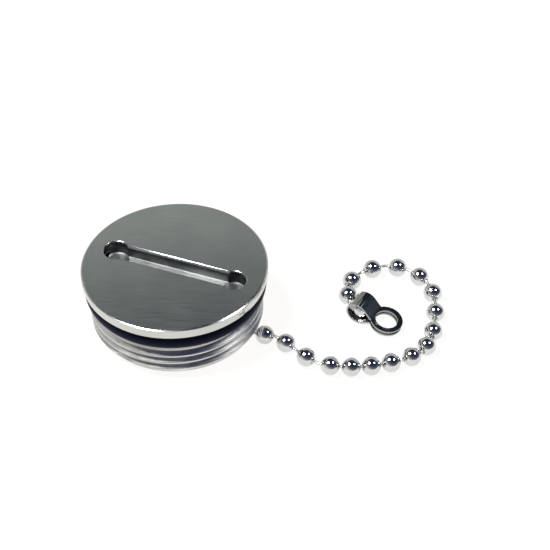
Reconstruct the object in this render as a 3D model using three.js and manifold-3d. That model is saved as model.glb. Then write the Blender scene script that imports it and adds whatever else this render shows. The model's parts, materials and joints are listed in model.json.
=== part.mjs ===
// Deck fill cap with a bead-chain tether, lying on a table.
// Millimetres, +Z up. z = 0 is the table, and the origin is the middle of the ground the whole thing covers.
// The cap leans by a few degrees, because its skirt stands on one link of its own chain.
import * as THREE from 'three';
import { mergeVertices } from 'three/addons/utils/BufferGeometryUtils.js';
import Module from 'manifold-3d';

const wasm = await Module();
wasm.setup();

// ---- Cap, in its own frame: z = 0 is the skirt's rim, the axis is +Z ----
const CAP_HEIGHT = 16.8;
const FLANGE_R = 23.2;
const FLANGE_THICKNESS = 2.6;
const FLANGE_CHAMFER = 0.3;
const NECK_R = 18.6;
const NECK_BOTTOM = 9.2;
const THREAD_ROOT_R = 20.4;
const THREAD_CREST_R = 21.65;
const THREAD_PITCH = 2.21;
const THREAD_TURNS = 3.55;
const THREAD_START = 0.34; // the ridge's middle at its first end; the lead-in chamfer cuts it off there
const RIM_OUTER_R = 20.3;
const RIM_INNER_R = 19.6;
const MOUTH_R = 19.5;
const MOUTH_DEPTH = 3.4;
const HOLLOW_R = 17.2;
const CEILING = 11.9;
const BOSS_R = 3.6;
const BOSS_FACE = 7.9;
const SCREW_HOLE_R = 1.8;
const SCREW_HOLE_TOP = 11.2;

// ---- Key slot in the top, for a two-pin or flat deck key ----
const SLOT_WIDTH = 4.2;
const SLOT_DEPTH = 3.4;
const SLOT_CHAMFER = 0.5;
const POCKET_R = 3.05;
const POCKET_DEPTH = 3.8;
const POCKET_CHAMFER = 0.3;
const POCKET_SPACING = 31.6;
const SLOT_ANGLE = -19.9;

// ---- Seal and anchor ----
const SEAL_R = 1.95;
const SEAL_RING_R = 20.75;
const SEAL_GAP = 0.95;
const WASHER_R = 3.2;
const WASHER_HOLE_R = 1.9;
const WASHER_TOP = 3.3;
const WASHER_THICKNESS = 0.6;
const SCREW_SHANK_R = 1.5;
const SCREW_HEAD_R = 2.8;
const SCREW_HEAD_HEIGHT = 1.4;
const SCREW_RECESS_R = 1.1;
const SCREW_RECESS_DEPTH = 0.8;
const FIT_GAP = 0.3;

// ---- Bead chain: hollow beads on double-headed pins ----
const BEAD_R = 2.4;
const BEAD_WALL = 0.22;
const BEAD_HOLE_R = 0.66;
const PIN_R = 0.42;
const PIN_HEAD_R = 0.78;
const PIN_HEAD_LENGTH = 0.3;
const PIN_LENGTH = 4.6;

// ---- Chain coupling: a folded strip with an eye at each end, closed round one bead ----
const STRIP_WIDTH = 5.4;
const STRIP_THICKNESS = 0.45;
const CAGE_R = 2.6; // inside
const CAGE_END_ANGLE = 52; // degrees from the eyes' plane, where the strip leaves the bead
const EYE_DISTANCE = 7.1;
const EYE_OUTER_R = 4.15;
const EYE_HOLE_R = 2.85;
const EYE_HALF_GAP = 0.35;
const CAGE_HOLE_R = 2.0;

// ---- How the parts lie ----
const LEAN = 3.4; // degrees, the skirt's lift on the chain
const CHAIN_AZIMUTH = -18; // degrees, where the chain leaves the skirt
const ANCHOR_SLOPE = -8; // degrees, the anchor coupling's droop
const ANCHOR_EYE_Z = 5.8; // above the rim plane
const ANCHOR_EYE_SHIFT = -0.4; // the eye is loose on its screw, pushed back off the cap's axis
const END_HEADING = -29; // degrees, the end coupling's direction on the table
const UNDER_RIM_PITCH = 15; // degrees, how far the beads beside the rim turn their holes down

// The hidden beads, from the anchor outwards: distance from the cap's axis and height.
const INNER_BEADS = [[11.9, 4.0], [16.6, BEAD_R], [23.3, BEAD_R]];
// From there on each bead lies on the table, one step further: [distance, heading in degrees].
const CHAIN_STEPS = [
  [5.9, -25], [6.8, -41], [6.5, -23], [5.2, -2], [5.0, 8], [5.1, 16], [5.7, 25], [5.4, 46], [5.5, 71],
  [6.7, 84], [7.0, 94], [6.6, 120], [6.4, 152], [6.6, 188], [7.0, 221], [5.5, 260], [6.2, 305],
];
const END_BEAD_Z = 3.1;
const END_CAGE_Z = 3.25; // the end coupling's cage stands a little above its bead's middle
const END_SLOPE = -9; // degrees, the end coupling's fall from its cage to its eye

const STEEL = { color: 0xa9adab, roughness: 0.32, metalness: 1.0 };
const BRIGHT_STEEL = { color: 0xc9ccd0, roughness: 0.12, metalness: 1.0 };
const DARK_STEEL = { color: 0x6f7478, roughness: 0.18, metalness: 1.0 };
const RUBBER = { color: 0x11131c, roughness: 0.55, metalness: 0.0 };

const radians = THREE.MathUtils.degToRad;

// ---- Solids ----

/** A manifold-3d solid from a closed three.js geometry. */
function solid(geometry) {
  const bare = geometry.clone();
  for (const name of Object.keys(bare.attributes)) {
    if (name !== 'position') bare.deleteAttribute(name);
  }
  const merged = mergeVertices(bare, 1e-4);
  const vertProperties = new Float32Array(merged.attributes.position.array);
  const triVerts = new Uint32Array(merged.index.array);
  return new wasm.Manifold(new wasm.Mesh({ numProp: 3, vertProperties, triVerts }));
}

/** A three.js geometry from a manifold-3d solid. */
function toGeometry(body) {
  const mesh = body.getMesh();
  const geometry = new THREE.BufferGeometry();
  geometry.setAttribute('position', new THREE.BufferAttribute(new Float32Array(mesh.vertProperties), 3));
  geometry.setIndex(new THREE.BufferAttribute(new Uint32Array(mesh.triVerts), 1));
  geometry.computeVertexNormals();
  return geometry;
}

/** A solid of revolution about +Z from [radius, z] points that run upwards on the outside. */
function turned(points, segments) {
  const profile = points.map(([r, z]) => new THREE.Vector2(r, z));
  return new THREE.LatheGeometry(profile, segments).rotateX(Math.PI / 2);
}

/** Points on an arc, [x, y], from one angle to another in degrees. */
function arc(cx, cy, r, from, to, steps) {
  const points = [];
  for (let i = 0; i <= steps; i++) {
    const a = radians(from + ((to - from) * i) / steps);
    points.push([cx + r * Math.cos(a), cy + r * Math.sin(a)]);
  }
  return points;
}

/** An outline's prism between two heights. */
function prism(shape, low, high, curveSegments = 12) {
  const options = { depth: high - low, bevelEnabled: false, curveSegments };
  const geometry = new THREE.ExtrudeGeometry(shape, options);
  return geometry.translate(0, 0, low);
}

/** The tool that cuts a straight-sided hole with a chamfered mouth: wider by the chamfer at the face. */
function chamferedRound(radius, face, depth, chamfer, segments) {
  const over = 0.5;
  return turned([
    [0, face - depth], [radius, face - depth], [radius, face - chamfer],
    [radius + chamfer + over, face + over], [0, face + over],
  ], segments);
}

/** The tool that cuts the straight slot with its chamfered edges, along X. */
function slotTool() {
  const half = SLOT_WIDTH / 2;
  const over = 0.5;
  const section = new THREE.Shape([
    new THREE.Vector2(-half, CAP_HEIGHT - SLOT_DEPTH),
    new THREE.Vector2(half, CAP_HEIGHT - SLOT_DEPTH),
    new THREE.Vector2(half, CAP_HEIGHT - SLOT_CHAMFER),
    new THREE.Vector2(half + SLOT_CHAMFER + over, CAP_HEIGHT + over),
    new THREE.Vector2(-half - SLOT_CHAMFER - over, CAP_HEIGHT + over),
    new THREE.Vector2(-half, CAP_HEIGHT - SLOT_CHAMFER),
  ]);
  const bar = prism(section, -POCKET_SPACING / 2, POCKET_SPACING / 2);
  return bar.rotateX(Math.PI / 2).rotateZ(Math.PI / 2);
}

/** One helical thread ridge, closed, with run-outs that sink into the core at both ends. */
function threadRidge() {
  const perTurn = 32;
  const steps = Math.round(perTurn * THREAD_TURNS);
  const half = THREAD_PITCH * 0.44;
  const flat = THREAD_PITCH * 0.09;
  const bury = 0.5;
  const positions = [];
  for (let i = 0; i <= steps; i++) {
    const turn = i / perTurn;
    const a = turn * 2 * Math.PI;
    const z = THREAD_START + turn * THREAD_PITCH;
    const fade = Math.min(1, turn / 0.25, (THREAD_TURNS - turn) / 0.25);
    const crest = THREAD_ROOT_R - 0.2 + (THREAD_CREST_R - THREAD_ROOT_R + 0.2) * fade;
    const section = [
      [THREAD_ROOT_R - bury, z - half], [THREAD_ROOT_R, z - half], [crest, z - flat],
      [crest, z + flat], [THREAD_ROOT_R, z + half], [THREAD_ROOT_R - bury, z + half],
    ];
    for (const [r, h] of section) positions.push(r * Math.cos(a), r * Math.sin(a), h);
  }
  const sides = 6;
  const index = [];
  for (let i = 0; i < steps; i++) {
    for (let k = 0; k < sides; k++) {
      const a = i * sides + k;
      const b = i * sides + ((k + 1) % sides);
      index.push(a, b, b + sides, a, b + sides, a + sides);
    }
  }
  const last = steps * sides;
  for (let k = 1; k < sides - 1; k++) {
    index.push(0, k + 1, k, last, last + k, last + k + 1);
  }
  const geometry = new THREE.BufferGeometry();
  geometry.setAttribute('position', new THREE.Float32BufferAttribute(positions, 3));
  geometry.setIndex(index.reverse());
  return geometry;
}

/** The cap: flange, neck for the seal, threaded skirt, hollow inside with a screw boss, key slot on top. */
function capBody() {
  const segments = 64;
  const flangeBottom = CAP_HEIGHT - FLANGE_THICKNESS;
  const rootBottom = THREAD_ROOT_R - RIM_OUTER_R;
  const core = turned([
    [0, SCREW_HOLE_TOP], [SCREW_HOLE_R, SCREW_HOLE_TOP], [SCREW_HOLE_R, BOSS_FACE], [BOSS_R, BOSS_FACE],
    [BOSS_R, CEILING - 0.8], [BOSS_R + 0.8, CEILING], [HOLLOW_R - 1.2, CEILING], [HOLLOW_R, CEILING - 1.2],
    [HOLLOW_R, MOUTH_DEPTH + 2], [MOUTH_R, MOUTH_DEPTH], [MOUTH_R, 0.1], [RIM_INNER_R, 0],
    [RIM_OUTER_R, 0], [THREAD_ROOT_R, rootBottom], [THREAD_ROOT_R, NECK_BOTTOM - 0.3],
    [THREAD_ROOT_R - 0.3, NECK_BOTTOM], [NECK_R, NECK_BOTTOM], [NECK_R, flangeBottom],
    [FLANGE_R - FLANGE_CHAMFER, flangeBottom], [FLANGE_R, flangeBottom + FLANGE_CHAMFER],
    [FLANGE_R, CAP_HEIGHT - FLANGE_CHAMFER], [FLANGE_R - FLANGE_CHAMFER, CAP_HEIGHT], [0, CAP_HEIGHT],
  ], segments);
  const leadIn = turned([
    [MOUTH_R - 1, -1], [RIM_OUTER_R + 5, -1], [RIM_OUTER_R + 5, 3.8], [RIM_OUTER_R + 2.5, 3.8],
    [RIM_OUTER_R, 0],
    [MOUTH_R - 1, 0], [MOUTH_R - 1, -1],
  ], segments);
  const ridge = solid(threadRidge()).subtract(solid(leadIn));
  let body = solid(core).add(ridge);
  const cuts = [solid(slotTool())];
  for (const side of [-1, 1]) {
    const pocket = chamferedRound(POCKET_R, CAP_HEIGHT, POCKET_DEPTH, POCKET_CHAMFER, 32);
    cuts.push(solid(pocket.translate((side * POCKET_SPACING) / 2, 0, 0)));
  }
  const turnSlot = new THREE.Matrix4().makeRotationZ(radians(SLOT_ANGLE));
  for (const cut of cuts) {
    body = body.subtract(cut.transform(turnSlot.elements));
  }
  return toGeometry(body);
}

/** The O-ring under the flange. */
function seal() {
  const middle = CAP_HEIGHT - FLANGE_THICKNESS - SEAL_GAP - SEAL_R;
  const profile = arc(SEAL_RING_R, middle, SEAL_R, 0, 360, 10);
  profile[profile.length - 1] = [...profile[0]];
  return turned(profile, 48);
}

/** The washer that keeps the anchor coupling's eye on the boss. */
function washer() {
  const bottom = WASHER_TOP - WASHER_THICKNESS;
  return turned([
    [WASHER_HOLE_R, bottom], [WASHER_R, bottom], [WASHER_R, WASHER_TOP], [WASHER_HOLE_R, WASHER_TOP],
    [WASHER_HOLE_R, bottom],
  ], 32);
}

/** The anchor screw: low head with a hexagonal socket, shank up into the boss. */
function screw() {
  const headTop = WASHER_TOP - WASHER_THICKNESS - FIT_GAP;
  const headBottom = headTop - SCREW_HEAD_HEIGHT;
  const blank = turned([
    [0, headBottom], [SCREW_HEAD_R - 0.3, headBottom], [SCREW_HEAD_R, headBottom + 0.3],
    [SCREW_HEAD_R, headTop], [SCREW_SHANK_R, headTop], [SCREW_SHANK_R, SCREW_HOLE_TOP - 0.7],
    [SCREW_SHANK_R - 0.4, SCREW_HOLE_TOP - 0.3],
    [0, SCREW_HOLE_TOP - 0.3],
  ], 24);
  const socket = turned([
    [0, headBottom - 1], [SCREW_RECESS_R, headBottom - 1], [SCREW_RECESS_R, headBottom + SCREW_RECESS_DEPTH],
    [0, headBottom + SCREW_RECESS_DEPTH],
  ], 6);
  return toGeometry(solid(blank).subtract(solid(socket)));
}

/** A hollow bead with a hole at each end of its Z axis. */
function bead() {
  const innerR = BEAD_R - BEAD_WALL;
  const outerHole = THREE.MathUtils.radToDeg(Math.asin(BEAD_HOLE_R / BEAD_R));
  const innerHole = THREE.MathUtils.radToDeg(Math.asin(BEAD_HOLE_R / innerR));
  const outer = arc(0, 0, BEAD_R, outerHole - 90, 90 - outerHole, 6);
  const inner = arc(0, 0, innerR, 90 - innerHole, innerHole - 90, 6);
  return turned([...outer, ...inner, [...outer[0]]], 10);
}

/** A pin with a head at each end, along Z, centred. */
function pin() {
  const end = PIN_LENGTH / 2;
  const shoulder = end - PIN_HEAD_LENGTH;
  return turned([
    [0, -end], [PIN_HEAD_R, -end], [PIN_HEAD_R, -shoulder], [PIN_R, -shoulder],
    [PIN_R, shoulder], [PIN_HEAD_R, shoulder], [PIN_HEAD_R, end], [0, end],
  ], 8);
}

/** The coupling: bead cage round the origin, eyes towards +X, strip width along Y. */
function coupling() {
  const t = STRIP_THICKNESS;
  const outerR = CAGE_R + t;
  const eyeTop = EYE_HALF_GAP + t;
  const front = EYE_DISTANCE - EYE_OUTER_R + 1.0;
  const upperOuter = [
    ...arc(0, 0, outerR, 180, CAGE_END_ANGLE, 10), [front - 0.4, eyeTop + 0.25], [front + 0.2, eyeTop],
    [front + 1, eyeTop],
  ];
  const upperInner = [
    [front + 1, EYE_HALF_GAP], [front - 0.1, EYE_HALF_GAP], [front - 0.5, EYE_HALF_GAP + 0.15],
    ...arc(0, 0, CAGE_R, CAGE_END_ANGLE, 180, 10),
  ];
  const mirror = (points) => points.map(([x, z]) => [x, -z]).reverse();
  const inside = [...upperInner.slice(0, -1), ...mirror(upperInner)];
  const outline = [...upperOuter, ...inside, ...mirror(upperOuter).slice(0, -1)];
  const band = prism(new THREE.Shape(outline.map(([x, z]) => new THREE.Vector2(x, z))), 0, STRIP_WIDTH);
  let body = solid(band.translate(0, 0, -STRIP_WIDTH / 2).rotateX(Math.PI / 2));
  for (const side of [-1, 1]) {
    const middle = side * (EYE_HALF_GAP + t / 2);
    const disc = turned([[0, middle - t / 2], [EYE_OUTER_R, middle - t / 2], [EYE_OUTER_R, middle + t / 2],
      [0, middle + t / 2]], 32);
    body = body.add(solid(disc.translate(EYE_DISTANCE, 0, 0)));
  }
  const hole = turned([[0, -4], [EYE_HOLE_R, -4], [EYE_HOLE_R, 4], [0, 4]], 32);
  body = body.subtract(solid(hole.translate(EYE_DISTANCE, 0, 0)));
  const pinHole = turned([[0, -2], [CAGE_HOLE_R, -2], [CAGE_HOLE_R, 2], [0, 2]], 16);
  return toGeometry(body.subtract(solid(pinHole.rotateY(Math.PI / 2).translate(-outerR, 0, 0))));
}

// ---- Chain layout ----

const polar = (r, degrees, z = 0) =>
  new THREE.Vector3(r * Math.cos(radians(degrees)), r * Math.sin(radians(degrees)), z);

/** A unit vector from a heading on the table and a slope, both in degrees. */
function direction(heading, slope) {
  return polar(Math.cos(radians(slope)), heading, Math.sin(radians(slope)));
}

const tiltAxis = polar(1, CHAIN_AZIMUTH + 90);
const rimCentre = new THREE.Vector3(0, 0, RIM_OUTER_R * Math.sin(radians(LEAN)));
const capAxis = new THREE.Vector3(0, 0, 1).applyAxisAngle(tiltAxis, -radians(LEAN));

const anchorEye = rimCentre.clone().addScaledVector(capAxis, ANCHOR_EYE_Z);
anchorEye.add(polar(ANCHOR_EYE_SHIFT, CHAIN_AZIMUTH));
const beadCentres = [anchorEye.addScaledVector(direction(CHAIN_AZIMUTH, ANCHOR_SLOPE), EYE_DISTANCE)];
for (const [r, z] of INNER_BEADS) beadCentres.push(polar(r, CHAIN_AZIMUTH, z));
for (const [step, heading] of CHAIN_STEPS) {
  beadCentres.push(beadCentres[beadCentres.length - 1].clone().add(polar(step, heading)));
}
const lastBead = beadCentres.length - 1;
beadCentres[lastBead].z = END_BEAD_Z;

// The pins go from hole to hole, and each bead lies turned to where its two pins tilt least in their holes.
const HOLE_REACH = BEAD_R - BEAD_WALL / 2;
const beadTurns = beadCentres.map((centre, i) => {
  const before = beadCentres[Math.max(i - 1, 0)];
  const after = beadCentres[Math.min(i + 1, lastBead)];
  const along = after.clone().sub(before);
  return [THREE.MathUtils.radToDeg(Math.atan2(along.y, along.x)), 0];
});
const beadAxis = (i) => direction(...beadTurns[i]);

/** The two ends of the pin between a bead and the next. */
function pinEnds(i) {
  const start = beadCentres[i].clone().addScaledVector(beadAxis(i), HOLE_REACH);
  const end = beadCentres[i + 1].clone().addScaledVector(beadAxis(i + 1), -HOLE_REACH);
  return [start, end];
}

/** How badly the pins at one bead and its neighbours tilt. */
function strain(i) {
  let sum = 0;
  for (let k = Math.max(i - 1, 0); k <= Math.min(i, lastBead - 1); k++) {
    const [start, end] = pinEnds(k);
    const along = end.sub(start);
    sum += along.angleTo(beadAxis(k)) ** 2 + along.angleTo(beadAxis(k + 1)) ** 2;
  }
  return sum;
}

// The two beads beside the rim have their holes turned down, so that the pin between them lies flat under it.
const INSIDE_RIM = 2;
const OUTSIDE_RIM = 3;
beadTurns[INSIDE_RIM] = [CHAIN_AZIMUTH, -UNDER_RIM_PITCH];
beadTurns[OUTSIDE_RIM] = [CHAIN_AZIMUTH - 3, UNDER_RIM_PITCH];
for (let step = 4; step > 0.1; step /= 2) {
  for (let pass = 0; pass < 30; pass++) {
    beadTurns.forEach((turns, i) => {
      if (i === INSIDE_RIM || i === OUTSIDE_RIM) return;
      for (const [which, change] of [[0, step], [0, -step], [1, step], [1, -step]]) {
        const held = strain(i);
        turns[which] += change;
        if (strain(i) >= held) turns[which] -= change;
      }
    });
  }
}

// ---- Assembly ----

const assembly = new THREE.Group();

function piece(name, geometry, look, parent = assembly) {
  const mesh = new THREE.Mesh(geometry, new THREE.MeshStandardMaterial(look));
  mesh.name = name;
  parent.add(mesh);
  return mesh;
}

/** Puts a mesh at a point with its own axis turned to a direction. */
function aim(mesh, point, from, towards) {
  mesh.position.copy(point);
  mesh.quaternion.setFromUnitVectors(from, towards);
  return mesh;
}

/** Puts a coupling at its bead with its eyes towards a heading and slope. */
function layCoupling(mesh, point, heading, slope) {
  mesh.position.copy(point);
  mesh.rotation.set(0, -radians(slope), radians(heading), 'ZYX');
  return mesh;
}

const cap = new THREE.Group();
cap.position.copy(rimCentre);
cap.quaternion.setFromAxisAngle(tiltAxis, -radians(LEAN));
assembly.add(cap);
piece('cap_body', capBody(), STEEL, cap);
piece('o_ring', seal(), RUBBER, cap);
piece('anchor_washer', washer(), BRIGHT_STEEL, cap);
piece('anchor_screw', screw(), BRIGHT_STEEL, cap);

const up = new THREE.Vector3(0, 0, 1);
const number = (i) => String(i + 1).padStart(2, '0');

// The anchor coupling's eye is on the screw, so its cage lies outwards and its eyes point back to the axis.
const anchorCoupling = piece('anchor_coupling', coupling(), DARK_STEEL);
layCoupling(anchorCoupling, beadCentres[0], CHAIN_AZIMUTH + 180, -ANCHOR_SLOPE);
const endCage = beadCentres[lastBead].clone().setZ(END_CAGE_Z);
layCoupling(piece('end_coupling', coupling(), DARK_STEEL), endCage, END_HEADING, END_SLOPE);

beadCentres.forEach((centre, i) => {
  aim(piece(`bead_${number(i)}`, bead(), BRIGHT_STEEL), centre, up, beadAxis(i));
});
for (let i = 0; i < lastBead; i++) {
  const [start, end] = pinEnds(i);
  const link = piece(`link_${number(i)}`, pin(), BRIGHT_STEEL);
  aim(link, start.clone().lerp(end, 0.5), up, end.sub(start).normalize());
}

const covered = new THREE.Box3().setFromObject(assembly, true).getCenter(new THREE.Vector3());
assembly.position.set(-covered.x, -covered.y, 0);

export default assembly;
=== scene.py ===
"""Deck fill cap with a bead-chain tether, on a white table."""

import json
import math

import bmesh
import bpy
import numpy as np
from mathutils import Matrix, Vector


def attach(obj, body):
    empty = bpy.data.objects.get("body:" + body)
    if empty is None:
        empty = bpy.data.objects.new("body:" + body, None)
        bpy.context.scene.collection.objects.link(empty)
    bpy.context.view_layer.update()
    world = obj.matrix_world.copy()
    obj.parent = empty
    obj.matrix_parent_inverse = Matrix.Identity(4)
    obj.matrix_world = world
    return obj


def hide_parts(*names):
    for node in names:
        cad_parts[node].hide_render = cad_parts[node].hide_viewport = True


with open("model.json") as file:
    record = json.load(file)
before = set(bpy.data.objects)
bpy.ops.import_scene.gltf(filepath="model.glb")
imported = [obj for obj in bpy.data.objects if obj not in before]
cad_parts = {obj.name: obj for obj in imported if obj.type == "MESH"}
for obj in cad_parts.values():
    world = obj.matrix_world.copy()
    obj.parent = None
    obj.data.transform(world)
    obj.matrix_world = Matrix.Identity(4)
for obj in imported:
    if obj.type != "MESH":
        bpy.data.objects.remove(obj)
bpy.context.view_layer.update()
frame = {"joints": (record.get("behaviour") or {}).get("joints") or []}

MM = 0.001
JOINTS = {j["name"]: j for j in frame["joints"]}


def joint_at(name):
    """A joint's place, in metres."""
    return Vector(JOINTS[name]["pos_m"])


def joint_axis(name):
    return Vector(JOINTS[name]["axis"]).normalized()


# ---- Camera ----

CAP_AXIS = joint_axis("anchor_swivel")
EYE_ON_AXIS = 5.8 * MM  # the swivel's point above the rim plane
RIM_CENTRE = joint_at("anchor_swivel") - CAP_AXIS * EYE_ON_AXIS

FOCAL_SHARE = 2000 / 550  # focal length over picture width
CAMERA_DISTANCE = 518.6 * MM
CAMERA_ELEVATION = math.radians(44.48)
CAMERA_ROLL = math.radians(2.6)
CAMERA_TARGET = Vector((24.03, 16.69, 0.0)) * MM + Vector((RIM_CENTRE.x, RIM_CENTRE.y, 0.0))


def make_camera():
    data = bpy.data.cameras.new("camera")
    data.sensor_width = 36.0
    data.lens = 36.0 * FOCAL_SHARE
    data.clip_start = 0.01
    data.clip_end = 20.0
    camera = bpy.data.objects.new("camera", data)
    bpy.context.scene.collection.objects.link(camera)
    forward = Vector((0.0, math.cos(CAMERA_ELEVATION), -math.sin(CAMERA_ELEVATION)))
    level_right = Vector((1.0, 0.0, 0.0))
    level_up = level_right.cross(forward)
    right = level_right * math.cos(CAMERA_ROLL) + level_up * math.sin(CAMERA_ROLL)
    up = level_up * math.cos(CAMERA_ROLL) - level_right * math.sin(CAMERA_ROLL)
    turn = Matrix((right, up, -forward)).transposed().to_4x4()
    camera.matrix_world = Matrix.Translation(CAMERA_TARGET - forward * CAMERA_DISTANCE) @ turn
    bpy.context.scene.camera = camera


make_camera()

# ---- Sizes, in millimetres, as in the CAD ----

CAP_HEIGHT = 16.8
FLANGE_R = 23.2
FLANGE_BOTTOM = 14.2
FLANGE_CHAMFER = 0.3
NECK_R = 18.6
NECK_BOTTOM = 9.2
ROOT_R = 20.4
CREST_R = 21.65
PITCH = 2.21
THREAD_START = 0.34
THREAD_TURNS = 3.55
RIM_OUTER_R = 20.3
RIM_INNER_R = 19.6
MOUTH_R = 19.5
MOUTH_DEPTH = 3.4
HOLLOW_R = 17.2
CEILING = 11.9
BOSS_R = 3.6
BOSS_FACE = 7.9
SCREW_HOLE_R = 1.8
SCREW_HOLE_TOP = 11.2
SLOT_WIDTH = 4.2
SLOT_DEPTH = 3.4
SLOT_CHAMFER = 0.5
POCKET_R = 3.05
POCKET_DEPTH = 3.8
POCKET_CHAMFER = 0.3
POCKET_SPACING = 31.6
SLOT_ANGLE = math.radians(-19.9)
SLOT_REACH = 20.5  # the slot and its pockets lie within this radius
SEAL_R = 1.95
SEAL_RING_R = 20.75
SEAL_Z = 11.3
WASHER = dict(hole=1.9, r=3.2, top=3.3, thick=0.6)
SCREW_SHANK_R = 1.5
SCREW_HEAD_R = 2.8
SCREW_HEAD_HEIGHT = 1.4
BEAD_R = 2.4
BEAD_WALL = 0.22
BEAD_HOLE_R = 0.66
PIN_R = 0.42
PIN_HEAD_R = 0.78
PIN_HEAD_LENGTH = 0.3
PIN_LENGTH = 4.6
STRIP_WIDTH = 5.4
STRIP_THICKNESS = 0.45
CAGE_R = 2.6
CAGE_END_ANGLE = 52.0
CAGE_HOLE_R = 2.0
EYE_DISTANCE = 7.1
EYE_OUTER_R = 4.15
EYE_HOLE_R = 2.85
EYE_HALF_GAP = 0.35
BEAD_COUNT = 21


# ---- Materials ----


class Nodes:
    """A small helper that wires shader nodes by name."""

    def __init__(self, name):
        self.material = bpy.data.materials.new(name)
        self.material.use_nodes = True
        self.tree = self.material.node_tree
        self.shader = self.tree.nodes["Principled BSDF"]

    def add(self, kind, **values):
        node = self.tree.nodes.new(kind)
        for key, value in values.items():
            if hasattr(node, key) and key not in node.inputs:
                setattr(node, key, value)
            else:
                node.inputs[key].default_value = value
        return node

    def link(self, a, out, b, into):
        self.tree.links.new(a.outputs[out], b.inputs[into])

    def coordinates(self, scale):
        where = self.add("ShaderNodeTexCoord")
        mapping = self.add("ShaderNodeMapping")
        mapping.inputs["Scale"].default_value = scale
        self.link(where, "Object", mapping, "Vector")
        return mapping

    def noise(self, scale, coordinates=(1, 1, 1), detail=4.0):
        mapping = self.coordinates(coordinates)
        noise = self.add("ShaderNodeTexNoise")
        noise.inputs["Scale"].default_value = scale
        noise.inputs["Detail"].default_value = detail
        self.link(mapping, "Vector", noise, "Vector")
        return noise

    def ramp(self, source, out, stops):
        ramp = self.add("ShaderNodeValToRGB")
        elements = ramp.color_ramp.elements
        while len(elements) < len(stops):
            elements.new(0.5)
        for element, (at, colour) in zip(elements, stops):
            element.position = at
            element.color = (*colour, 1.0)
        self.link(source, out, ramp, "Fac")
        return ramp

    def range(self, source, out, low, high, start=0.0, end=1.0):
        node = self.add("ShaderNodeMapRange")
        node.inputs["From Min"].default_value = start
        node.inputs["From Max"].default_value = end
        node.inputs["To Min"].default_value = low
        node.inputs["To Max"].default_value = high
        self.link(source, out, node, "Value")
        return node

    def bump(self, source, out, strength, distance):
        bump = self.add("ShaderNodeBump")
        bump.inputs["Strength"].default_value = strength
        bump.inputs["Distance"].default_value = distance
        self.link(source, out, bump, "Height")
        self.link(bump, "Normal", self.shader, "Normal")
        return bump


def grey(value):
    return (value, value, value)


def make_metal(name, dark, light, roughness, grain, grain_scale, bump):
    """A metal with a patchy tone, a grain that may be stretched along one direction, and fine bumps."""
    n = Nodes(name)
    n.shader.inputs["Metallic"].default_value = 1.0
    patches = n.noise(90.0, detail=3.0)
    tone = n.ramp(patches, "Fac", [(0.35, dark), (0.65, light)])
    n.link(tone, "Color", n.shader, "Base Color")
    streaks = n.noise(grain_scale, grain, detail=6.0)
    rough = n.range(streaks, "Fac", *roughness, 0.3, 0.7)
    n.link(rough, "Result", n.shader, "Roughness")
    n.bump(streaks, "Fac", bump, 0.00005)
    return n.material


def make_rubber():
    n = Nodes("seal_rubber")
    fine = n.noise(2500.0, detail=5.0)
    tone = n.ramp(fine, "Fac", [(0.3, (0.004, 0.006, 0.014)), (0.7, (0.007, 0.010, 0.024))])
    n.link(tone, "Color", n.shader, "Base Color")
    n.shader.inputs["Specular IOR Level"].default_value = 0.05
    rough = n.range(fine, "Fac", 0.3, 0.42)
    n.link(rough, "Result", n.shader, "Roughness")
    n.bump(fine, "Fac", 0.06, 0.00004)
    return n.material


CAP_METAL = make_metal(
    "cap_metal", dark=(0.52, 0.54, 0.53), light=(0.58, 0.60, 0.585),
    roughness=(0.15, 0.21), grain=(1, 16, 1), grain_scale=160.0, bump=0.03,
)
RIM_METAL = make_metal(
    "rim_metal", dark=(0.53, 0.53, 0.51), light=(0.60, 0.60, 0.575),
    roughness=(0.16, 0.24), grain=(1, 1, 8), grain_scale=300.0, bump=0.02,
)
THREAD_METAL = make_metal(
    "thread_metal", dark=(0.48, 0.48, 0.465), light=(0.66, 0.66, 0.64),
    roughness=(0.26, 0.38), grain=(1, 1, 8), grain_scale=500.0, bump=0.10,
)
SLOT_FLOOR = make_metal(
    "slot_floor_metal", dark=(0.38, 0.39, 0.375), light=(0.70, 0.71, 0.69),
    roughness=(0.40, 0.60), grain=(1, 1, 1), grain_scale=1600.0, bump=0.6,
)
# Slot walls: the cap's metal painted near black as painted shade in the recess; only the vertical grain in
# roughness and bumps is real.
SLOT_WALL_PAINTED_SHADE = make_metal(
    "slot_wall_painted_shade", dark=(0.05, 0.057, 0.06), light=(0.15, 0.16, 0.165),
    roughness=(0.25, 0.40), grain=(1, 1, 0.1), grain_scale=900.0, bump=0.3,
)
# Slot's top chamfer: the rim metal painted dark so its reflection stays dim, a painted shade.
SLOT_EDGE_PAINTED_SHADE = make_metal(
    "slot_edge_painted_shade", dark=(0.10, 0.105, 0.11), light=(0.15, 0.155, 0.16),
    roughness=(0.30, 0.40), grain=(1, 1, 8), grain_scale=300.0, bump=0.05,
)
# Pocket floors: the slot floor's metal painted darker as painted shade in the deeper pockets.
POCKET_FLOOR_PAINTED_SHADE = make_metal(
    "pocket_floor_painted_shade", dark=(0.16, 0.17, 0.165), light=(0.36, 0.37, 0.36),
    roughness=(0.36, 0.52), grain=(1, 1, 1), grain_scale=1600.0, bump=0.6,
)
BEAD_METAL = make_metal(
    "bead_metal", dark=(0.60, 0.605, 0.61), light=(0.68, 0.68, 0.675),
    roughness=(0.06, 0.11), grain=(1, 1, 1), grain_scale=700.0, bump=0.03,
)
PIN_METAL = make_metal(
    "pin_metal", dark=(0.72, 0.72, 0.71), light=(0.82, 0.82, 0.80),
    roughness=(0.28, 0.36), grain=(1, 1, 6), grain_scale=900.0, bump=0.05,
)
COUPLING_METAL = make_metal(
    "coupling_metal", dark=(0.30, 0.31, 0.30), light=(0.40, 0.41, 0.40),
    roughness=(0.12, 0.20), grain=(4, 1, 4), grain_scale=500.0, bump=0.05,
)
RUBBER = make_rubber()


# ---- Meshes ----


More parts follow.
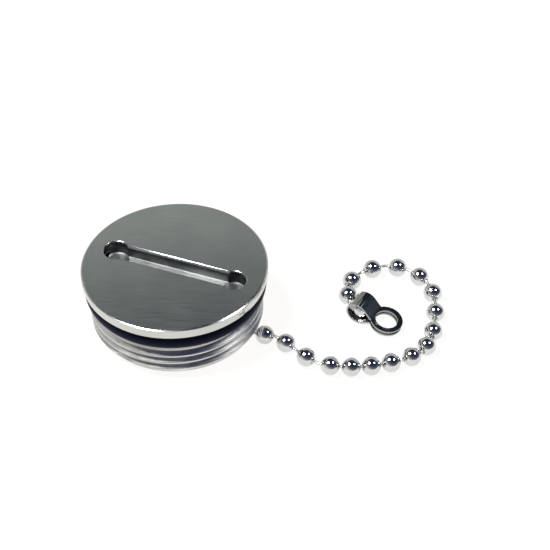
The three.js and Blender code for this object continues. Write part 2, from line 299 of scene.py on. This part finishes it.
def make_object(name, vertices, faces, materials, face_material=None, smooth_angle=35.0):
    """A mesh object whose points are in millimetres in its own frame."""
    mesh = bpy.data.meshes.new(name)
    mesh.from_pydata([tuple(v) for v in np.asarray(vertices) * MM], [], faces)
    for material in materials:
        mesh.materials.append(material)
    if face_material is not None:
        mesh.polygons.foreach_set("material_index", face_material)
    mesh.validate()
    obj = bpy.data.objects.new(name, mesh)
    bpy.context.scene.collection.objects.link(obj)
    mesh.shade_smooth()
    mesh.set_sharp_from_angle(angle=math.radians(smooth_angle))
    return obj


def lathe(profile, segments):
    """Vertices and faces of a profile of [radius, z] turned about Z. The outside runs upwards."""
    vertices = []
    rings = []
    for r, z in profile:
        if r < 1e-6:
            rings.append([len(vertices)])
            vertices.append((0.0, 0.0, z))
            continue
        rings.append(list(range(len(vertices), len(vertices) + segments)))
        for k in range(segments):
            a = 2 * math.pi * k / segments
            vertices.append((r * math.cos(a), r * math.sin(a), z))
    faces = []
    for low, high in zip(rings, rings[1:]):
        for k in range(segments):
            j = (k + 1) % segments
            if len(low) == 1 and len(high) == 1:
                continue
            if len(low) == 1:
                faces.append((low[0], high[j], high[k]))
            elif len(high) == 1:
                faces.append((low[k], low[j], high[0]))
            else:
                faces.append((low[k], low[j], high[j], high[k]))
    return vertices, faces


def rounded(profile, radius, steps=3):
    """The same profile with every inner corner rounded by up to a radius."""
    out = [profile[0]]
    for before, corner, after in zip(profile, profile[1:], profile[2:]):
        b, c, a = (np.array(p, float) for p in (before, corner, after))
        reach_b, reach_a = np.linalg.norm(b - c), np.linalg.norm(a - c)
        cut = min(radius, reach_b * 0.45, reach_a * 0.45)
        if reach_b < 1e-9 or reach_a < 1e-9:
            out.append(tuple(c))
            continue
        start = c + (b - c) / reach_b * cut
        end = c + (a - c) / reach_a * cut
        for k in range(steps + 1):
            t = k / steps
            out.append(tuple((1 - t) ** 2 * start + 2 * t * (1 - t) * c + t**2 * end))
    out.append(profile[-1])
    return out


def place(obj, origin, x_axis, z_axis):
    """Puts an object's own frame at a point, with its X and Z axes turned to the given directions."""
    z = Vector(z_axis).normalized()
    x = Vector(x_axis)
    x = (x - z * x.dot(z)).normalized()
    y = z.cross(x)
    turn = Matrix((x, y, z)).transposed().to_4x4()
    obj.matrix_world = Matrix.Translation(origin) @ turn


def cut(obj, tool, operation="DIFFERENCE"):
    """Applies a boolean and removes the tool."""
    modifier = obj.modifiers.new("cut", "BOOLEAN")
    modifier.operation = operation
    modifier.solver = "EXACT"
    modifier.object = tool
    apply_modifiers(obj)
    bpy.data.objects.remove(tool)


def apply_modifiers(obj):
    bpy.context.view_layer.update()
    graph = bpy.context.evaluated_depsgraph_get()
    mesh = bpy.data.meshes.new_from_object(obj.evaluated_get(graph))
    obj.modifiers.clear()
    obj.data = mesh


def join(target, *others):
    """Moves other objects' meshes into the first, materials included."""
    with bpy.context.temp_override(
        active_object=target, selected_objects=[target, *others], selected_editable_objects=[target, *others]
    ):
        bpy.ops.object.join()


def prism(name, outline, low, high, materials, axis="z"):
    """A closed prism over an outline of [x, y] points, between two heights, or along Y with [x, z] points."""
    count = len(outline)
    if axis == "z":
        vertices = [(x, y, low) for x, y in outline] + [(x, y, high) for x, y in outline]
    else:
        vertices = [(x, high, z) for x, z in outline] + [(x, low, z) for x, z in outline]
    faces = [tuple(reversed(range(count))), tuple(range(count, 2 * count))]
    for k in range(count):
        j = (k + 1) % count
        faces.append((k, j, count + j, count + k))
    return make_object(name, vertices, faces, materials)


# ---- Cap ----


def thread_shell():
    """The skirt's outside as a grid whose rows follow the helix, clipped between the rim and the neck."""
    segments = 360
    half = PITCH * 0.44
    flat = PITCH * 0.09
    # One pitch of the profile: height from the ridge's middle, and how far out it stands.
    ridge = [(-half, 0.0), (-half * 0.93, 0.03), (-flat - 0.1, 0.93), (-flat, 1.0), (0.0, 1.0), (flat, 1.0),
             (flat + 0.1, 0.93), (half * 0.93, 0.03), (half, 0.0)]
    rows = [(-1, -PITCH * 0.6, 0.0)]
    for turn in range(-1, 6):
        rows += [(turn, z, out) for z, out in ridge]
    top = NECK_BOTTOM
    vertices = []
    for k in range(segments + 1):
        share = k / segments
        a = 2 * math.pi * share
        for turn, z, out in rows:
            height = THREAD_START + (turn + share) * PITCH + z
            turns_in = turn + share
            fade = min(1.0, max(0.0, (THREAD_TURNS - turns_in) / 0.25))
            r = ROOT_R + (CREST_R - ROOT_R) * out * fade
            height = min(max(height, 0.0), top)
            r = min(r, RIM_OUTER_R + height * 2.5 / 3.8)
            r = min(r, ROOT_R + (top - height) * 1.1) if height > top - 0.6 else r
            vertices.append((r * math.cos(a), r * math.sin(a), height))
    width = len(rows)
    faces = []
    for k in range(segments):
        for i in range(width - 1):
            p = k * width + i
            faces.append((p, p + width, p + width + 1, p + 1))
    return vertices, faces


def slot_tools():
    """The solids that cut the key slot and its two pockets."""
    half = SLOT_WIDTH / 2
    over = 0.5
    top = CAP_HEIGHT
    c = SLOT_CHAMFER
    side = [(half, top - SLOT_DEPTH + 0.15), (half, top - c - 0.08), (half + 0.03, top - c + 0.02),
            (half + c - 0.08, top - 0.10), (half + c, top - 0.04), (half + c + 0.10, top),
            (half + c + 0.10, top + over)]
    section = [(-half + 0.15, top - SLOT_DEPTH), (half - 0.15, top - SLOT_DEPTH)] + side
    section += [(-x, z) for x, z in reversed(side)]
    bar = prism("slot_tool", section, -POCKET_SPACING / 2, POCKET_SPACING / 2, [SLOT_FLOOR], axis="y")
    bar.rotation_euler[2] = SLOT_ANGLE - math.pi / 2
    tools = [bar]
    for side in (-1, 1):
        r, chamfer = POCKET_R, POCKET_CHAMFER
        low = top - POCKET_DEPTH
        profile = [(0, low - 0.18), (r - 0.35, low), (r, low + 0.3), (r, top - chamfer - 0.06),
                   (r + 0.03, top - chamfer + 0.02), (r + chamfer - 0.06, top - 0.08),
                   (r + chamfer, top - 0.03), (r + chamfer + 0.08, top),
                   (r + chamfer + 0.08, top + over), (0, top + over)]
        tool = make_object("pocket_tool", *lathe(profile, 96), [SLOT_FLOOR])
        reach = side * POCKET_SPACING / 2 * MM
        tool.location = (reach * math.cos(SLOT_ANGLE), reach * math.sin(SLOT_ANGLE), 0)
        tools.append(tool)
    return tools


def face_metal(face):
    """The material of one of the cap's faces, by where it lies; the slot's walls, its top chamfer and the
    pockets' floors get darker copies of the metal as painted shade.
    """
    centre = face.center / MM
    radius = math.hypot(centre.x, centre.y)
    depth = CAP_HEIGHT - centre.z
    in_slot = radius < SLOT_REACH and centre.z > CEILING + 0.5
    if face.normal.z > 0.95 and depth < 0.02:
        return CAP_METAL
    if not in_slot or depth < 0.12:
        return RIM_METAL
    if depth < SLOT_CHAMFER + 0.1:
        return SLOT_EDGE_PAINTED_SHADE
    if face.normal.z < 0.6:
        return SLOT_WALL_PAINTED_SHADE
    return SLOT_FLOOR if radius < POCKET_SPACING / 2 - POCKET_R else POCKET_FLOOR_PAINTED_SHADE


def make_cap():
    top = CAP_HEIGHT
    chamfer = FLANGE_CHAMFER
    profile = [
        (0, SCREW_HOLE_TOP), (SCREW_HOLE_R, SCREW_HOLE_TOP), (SCREW_HOLE_R, BOSS_FACE + 0.2),
        (SCREW_HOLE_R + 0.2, BOSS_FACE), (BOSS_R - 0.2, BOSS_FACE), (BOSS_R, BOSS_FACE + 0.2),
        (BOSS_R, CEILING - 0.8), (BOSS_R + 0.2, CEILING - 0.25), (BOSS_R + 0.8, CEILING),
        (HOLLOW_R - 1.2, CEILING), (HOLLOW_R - 0.35, CEILING - 0.35), (HOLLOW_R, CEILING - 1.2),
        (HOLLOW_R, MOUTH_DEPTH + 2), (MOUTH_R, MOUTH_DEPTH), (MOUTH_R, 0.1), (RIM_INNER_R, 0),
        (RIM_OUTER_R, 0), (RIM_OUTER_R - 0.05, 0.3), (ROOT_R - 0.15, 0.5), (ROOT_R - 0.15, NECK_BOTTOM - 0.2),
        (ROOT_R - 0.3, NECK_BOTTOM - 0.02),
        (NECK_R + 0.15, NECK_BOTTOM), (NECK_R, NECK_BOTTOM + 0.15), (NECK_R, FLANGE_BOTTOM - 0.15),
        (NECK_R + 0.15, FLANGE_BOTTOM), (FLANGE_R - chamfer, FLANGE_BOTTOM),
        (FLANGE_R - 0.08, FLANGE_BOTTOM + 0.06), (FLANGE_R, FLANGE_BOTTOM + chamfer),
        (FLANGE_R, top - chamfer), (FLANGE_R - 0.05, top - chamfer + 0.1),
        (FLANGE_R - chamfer - 0.03, top - 0.02), (FLANGE_R - chamfer - 0.12, top), (0, top),
    ]
    segments = 256
    vertices, faces = lathe(profile, segments)
    cap = make_object("deck_cap", vertices, faces, [CAP_METAL], smooth_angle=30.0)
    for tool in slot_tools():
        cut(cap, tool)
    mesh = cap.data
    metals = [CAP_METAL, RIM_METAL, SLOT_FLOOR, SLOT_WALL_PAINTED_SHADE, SLOT_EDGE_PAINTED_SHADE, POCKET_FLOOR_PAINTED_SHADE]
    # Faces inside the slot and pockets take the painted-shade copies of the metal.
    marks = [metals.index(face_metal(face)) for face in mesh.polygons]
    mesh.materials.clear()
    for material in metals:
        mesh.materials.append(material)
    mesh.polygons.foreach_set("material_index", marks)
    mesh.shade_smooth()
    mesh.set_sharp_from_angle(angle=math.radians(30))
    for face in mesh.polygons:
        face.use_smooth = face.material_index != metals.index(CAP_METAL)
    vertices, faces = thread_shell()
    shell = make_object("thread", vertices, faces, [THREAD_METAL], smooth_angle=50.0)
    weld = bmesh.new()
    weld.from_mesh(shell.data)
    bmesh.ops.remove_doubles(weld, verts=weld.verts, dist=1e-7)
    weld.to_mesh(shell.data)
    weld.free()
    join(cap, shell)
    place(cap, RIM_CENTRE, (1, 0, 0), CAP_AXIS)
    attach(cap, "cap")
    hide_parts("cap_body")
    return cap


def make_seal():
    profile = [(SEAL_RING_R + SEAL_R * math.cos(a), SEAL_Z + SEAL_R * math.sin(a))
               for a in np.linspace(0, 2 * math.pi, 41)]
    seal = make_object("seal_ring", *lathe(profile, 256), [RUBBER], smooth_angle=60)
    place(seal, RIM_CENTRE, (1, 0, 0), CAP_AXIS)
    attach(seal, "cap")
    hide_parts("o_ring")


def make_fastening():
    """The washer and the screw under the boss."""
    w = WASHER
    low = w["top"] - w["thick"]
    ring = [(w["hole"], low), (w["r"], low), (w["r"], w["top"]), (w["hole"], w["top"]), (w["hole"], low)]
    washer = make_object("screw_washer", *lathe(rounded(ring, 0.12), 96), [PIN_METAL])
    head_top = low - 0.3
    head_low = head_top - SCREW_HEAD_HEIGHT
    r = SCREW_HEAD_R
    shank = SCREW_SHANK_R
    blank = [(0, head_low), (r - 0.5, head_low), (r - 0.1, head_low + 0.3), (r, head_low + 0.6),
             (r, head_top - 0.05), (r - 0.05, head_top), (shank, head_top)]
    z = head_top + 1.0
    while z < SCREW_HOLE_TOP - 1.4:
        blank += [(shank, z), (shank - 0.16, z + 0.25)]
        z += 0.5
    blank += [(shank, z), (shank - 0.4, SCREW_HOLE_TOP - 0.3), (0, SCREW_HOLE_TOP - 0.3)]
    screw = make_object("cap_screw", *lathe(blank, 96), [PIN_METAL])
    socket = [(1.1 * math.cos(a), 1.1 * math.sin(a)) for a in np.linspace(0, 2 * math.pi, 7)[:-1]]
    cut(screw, prism("socket_tool", socket, head_low - 1, head_low + 0.8, [PIN_METAL]))
    for obj, node in ((washer, "anchor_washer"), (screw, "anchor_screw")):
        place(obj, RIM_CENTRE, (1, 0, 0), CAP_AXIS)
        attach(obj, "cap")
        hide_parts(node)


# ---- Chain ----


def number(i):
    return f"{i:02d}"


def hole_in(i):
    """Where the pin from the bead before goes into bead i."""
    return joint_at(f"bead_{number(i)}_tilt")


def hole_out(i):
    """Where the pin to the next bead leaves bead i."""
    return joint_at(f"link_{number(i)}_swing")


def bead_mesh():
    inner = BEAD_R - BEAD_WALL
    lip = 0.12
    start = math.asin((BEAD_HOLE_R + lip) / BEAD_R)
    inside = math.asin(BEAD_HOLE_R / inner)
    profile = [(BEAD_HOLE_R, -inner * math.cos(inside)), (BEAD_HOLE_R, -BEAD_R * math.cos(start) + 0.1),
               (BEAD_HOLE_R + 0.03, -BEAD_R * math.cos(start) + 0.03)]
    for a in np.linspace(start, math.pi - start, 40):
        profile.append((BEAD_R * math.sin(a), -BEAD_R * math.cos(a)))
    profile += [(r, -z) for r, z in reversed(profile[:3])]
    for a in np.linspace(math.pi - inside, inside, 16):
        profile.append((inner * math.sin(a), -inner * math.cos(a)))
    return lathe(profile, 56)


def pin_mesh():
    end = PIN_LENGTH / 2
    shoulder = end - PIN_HEAD_LENGTH
    profile = [(0, -end), (PIN_HEAD_R * 0.6, -end + 0.02), (PIN_HEAD_R, -end + 0.15),
               (PIN_HEAD_R, -shoulder - 0.05), (PIN_HEAD_R - 0.08, -shoulder), (PIN_R + 0.05, -shoulder),
               (PIN_R, -shoulder + 0.06)]
    profile += [(r, -z) for r, z in reversed(profile)]
    return lathe(profile, 32)


def make_chain():
    bead_shape = bead_mesh()
    pin_shape = pin_mesh()
    up = Vector((0, 0, 1))
    for i in range(1, BEAD_COUNT + 1):
        name = f"bead_{number(i)}"
        if i == 1:
            centre = joint_at("bead_01_turn")
            axis = hole_out(1) - centre
        elif i == BEAD_COUNT:
            centre = joint_at("end_coupling_turn")
            axis = centre - hole_in(i)
        else:
            centre = (hole_in(i) + hole_out(i)) / 2
            axis = hole_out(i) - hole_in(i)
        obj = make_object(f"ball_{number(i)}", *bead_shape, [BEAD_METAL], smooth_angle=50)
        place(obj, centre, axis.cross(up), axis)
        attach(obj, name)
        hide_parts(name)
    for i in range(1, BEAD_COUNT):
        name = f"link_{number(i)}"
        start, end = hole_out(i), hole_in(i + 1)
        obj = make_object(f"pin_{number(i)}", *pin_shape, [PIN_METAL], smooth_angle=40)
        place(obj, (start + end) / 2, (end - start).cross(up), end - start)
        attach(obj, name)
        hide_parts(name)


# ---- Couplings ----


def bend_points(cx, cz, r, start, end, steps=10):
    return [(cx + r * math.cos(a), cz + r * math.sin(a))
            for a in np.linspace(math.radians(start), math.radians(end), steps + 1)]


def smooth_corner(points, radius):
    """Rounds the inner corners of an open line."""
    return rounded(points, radius, steps=5)


def coupling_object(name):
    """The folded strip: cage round the origin, eyes towards +X."""
    t = STRIP_THICKNESS
    front = EYE_DISTANCE - EYE_OUTER_R + 1.0
    out_r = CAGE_R + t
    eye_top = EYE_HALF_GAP + t
    upper_outer = bend_points(0, 0, out_r, 180, CAGE_END_ANGLE, 26)
    upper_outer += smooth_corner([upper_outer[-1], (front, eye_top), (front + 1.0, eye_top)], 1.0)[1:]
    upper_inner = smooth_corner([(front + 1.0, EYE_HALF_GAP), (front - 0.2, EYE_HALF_GAP),
                                 bend_points(0, 0, CAGE_R, CAGE_END_ANGLE, 180, 26)[0]], 0.8)[:-1]
    upper_inner += bend_points(0, 0, CAGE_R, CAGE_END_ANGLE, 180, 26)
    upper = upper_outer + upper_inner
    outline = upper + [(x, -z) for x, z in reversed(upper)]
    outline = [p for k, p in enumerate(outline) if math.dist(p, outline[k - 1]) > 1e-4]
    half = STRIP_WIDTH / 2
    body = prism(name, outline, -half, half, [COUPLING_METAL], axis="y")
    for side in (-1, 1):
        middle = side * (EYE_HALF_GAP + t / 2)
        low, high = middle - t / 2, middle + t / 2
        disc = [(0, low), (EYE_OUTER_R, low), (EYE_OUTER_R, high), (0, high)]
        tool = make_object("eye_tool", *lathe(disc, 96), [COUPLING_METAL])
        tool.location.x = EYE_DISTANCE * MM
        cut(body, tool, "UNION")
    eye_drill = [(0, -4), (EYE_HOLE_R, -4), (EYE_HOLE_R, 4), (0, 4)]
    hole = make_object("hole_tool", *lathe(eye_drill, 96), [COUPLING_METAL])
    hole.location.x = EYE_DISTANCE * MM
    cut(body, hole)
    cage_drill = [(0, -1.7), (CAGE_HOLE_R, -1.7), (CAGE_HOLE_R, 1.7), (0, 1.7)]
    hole = make_object("hole_tool", *lathe(cage_drill, 64), [COUPLING_METAL])
    hole.rotation_euler[1] = math.pi / 2
    hole.location.x = -out_r * MM
    cut(body, hole)
    bevel = body.modifiers.new("edges", "BEVEL")
    bevel.width = 0.1 * MM
    bevel.segments = 3
    bevel.angle_limit = math.radians(40)
    apply_modifiers(body)
    body.data.shade_smooth()
    body.data.set_sharp_from_angle(angle=math.radians(40))
    return body


def heading(degrees, slope):
    a, s = math.radians(degrees), math.radians(slope)
    return Vector((math.cos(a) * math.cos(s), math.sin(a) * math.cos(s), math.sin(s)))


def make_couplings():
    cages = [
        ("anchor_coupling", joint_at("bead_01_turn"), 162, 8),
        ("end_coupling", joint_at("end_coupling_turn") + Vector((0, 0, 0.15 * MM)), -29, -9),
    ]
    for node, centre, angle, slope in cages:
        obj = coupling_object(node.replace("coupling", "clasp"))
        along = heading(angle, slope)
        side = Vector((0, 0, 1)).cross(along)
        place(obj, centre, along, along.cross(side))
        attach(obj, node)
        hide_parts(node)


make_cap()
make_seal()
make_fastening()
make_chain()
make_couplings()


# ---- Table and light ----


def make_table():
    n = Nodes("table")
    speck = n.noise(400.0, detail=2.0)
    tone = n.ramp(speck, "Fac", [(0.4, grey(0.10)), (0.6, grey(0.11))])
    n.link(tone, "Color", n.shader, "Base Color")
    n.shader.inputs["Roughness"].default_value = 0.9
    n.shader.inputs["Specular IOR Level"].default_value = 0.0
    n.shader.inputs["Emission Color"].default_value = (1.0, 0.99, 0.975, 1.0)
    n.shader.inputs["Emission Strength"].default_value = 0.93
    size = 3000.0
    corners = [(x, y, -0.02) for x, y in ((-size, -size), (size, -size), (size, size), (-size, size))]
    table = make_object("table", corners, [(0, 1, 2, 3)], [n.material])


def make_light(name, place_mm, aim_mm, size_mm, power):
    data = bpy.data.lights.new(name, "AREA")
    data.shape = "DISK"
    data.size = size_mm * MM
    data.energy = power
    light = bpy.data.objects.new(name, data)
    bpy.context.scene.collection.objects.link(light)
    start, end = Vector(place_mm) * MM, Vector(aim_mm) * MM
    aim = (end - start).to_track_quat("-Z", "Y").to_matrix().to_4x4()
    light.matrix_world = Matrix.Translation(start) @ aim


def make_world():
    """A dark room with a bright band round the horizon, and a tall grey panel behind the cap."""
    world = bpy.data.worlds.new("studio")
    bpy.context.scene.world = world
    world.use_nodes = True
    tree = world.node_tree
    background = tree.nodes["Background"]
    where = tree.nodes.new("ShaderNodeTexCoord")
    split = tree.nodes.new("ShaderNodeSeparateXYZ")
    tree.links.new(where.outputs["Generated"], split.inputs["Vector"])
    lean = tree.nodes.new("ShaderNodeMath")
    lean.operation = "MULTIPLY_ADD"
    lean.inputs[1].default_value = 0.35
    tree.links.new(split.outputs["X"], lean.inputs[0])
    tree.links.new(split.outputs["Z"], lean.inputs[2])
    room = [(0.0, grey(0.75)), (0.10, grey(0.55)), (0.30, grey(0.20)), (0.55, (0.11, 0.12, 0.15)),
            (0.80, (0.035, 0.045, 0.09)), (1.0, (0.02, 0.03, 0.075))]
    panel = [(0.10, grey(0.60)), (0.60, (0.56, 0.57, 0.54)), (0.652, (0.54, 0.56, 0.54)),
             (0.668, (0.01, 0.02, 0.035)), (1.0, (0.01, 0.015, 0.03))]
    ramps = []
    for stops, source in ((room, lean.outputs["Value"]), (panel, split.outputs["Z"])):
        ramp = tree.nodes.new("ShaderNodeValToRGB")
        elements = ramp.color_ramp.elements
        while len(elements) < len(stops):
            elements.new(0.5)
        for element, (at, colour) in zip(elements, stops):
            element.position = at
            element.color = (*colour, 1.0)
        tree.links.new(source, ramp.inputs["Fac"])
        ramps.append(ramp)
    edge = tree.nodes.new("ShaderNodeMapRange")
    edge.interpolation_type = "SMOOTHSTEP"
    edge.inputs["From Min"].default_value = 0.40
    edge.inputs["From Max"].default_value = 0.60
    tree.links.new(split.outputs["Y"], edge.inputs["Value"])
    mix = tree.nodes.new("ShaderNodeMix")
    mix.data_type = "RGBA"
    tree.links.new(edge.outputs["Result"], mix.inputs["Factor"])
    tree.links.new(ramps[0].outputs["Color"], mix.inputs[6])
    tree.links.new(ramps[1].outputs["Color"], mix.inputs[7])
    tree.links.new(mix.outputs[2], background.inputs["Color"])
    background.inputs["Strength"].default_value = 1.0


make_table()
make_light("left_box", (-325, -95, 725), (0, 0, 0), 290, 8.5)
make_light("right_box", (430, -20, 675), (0, 0, 0), 190, 1.5)
make_world()
bpy.context.scene.view_settings.view_transform = "Standard"
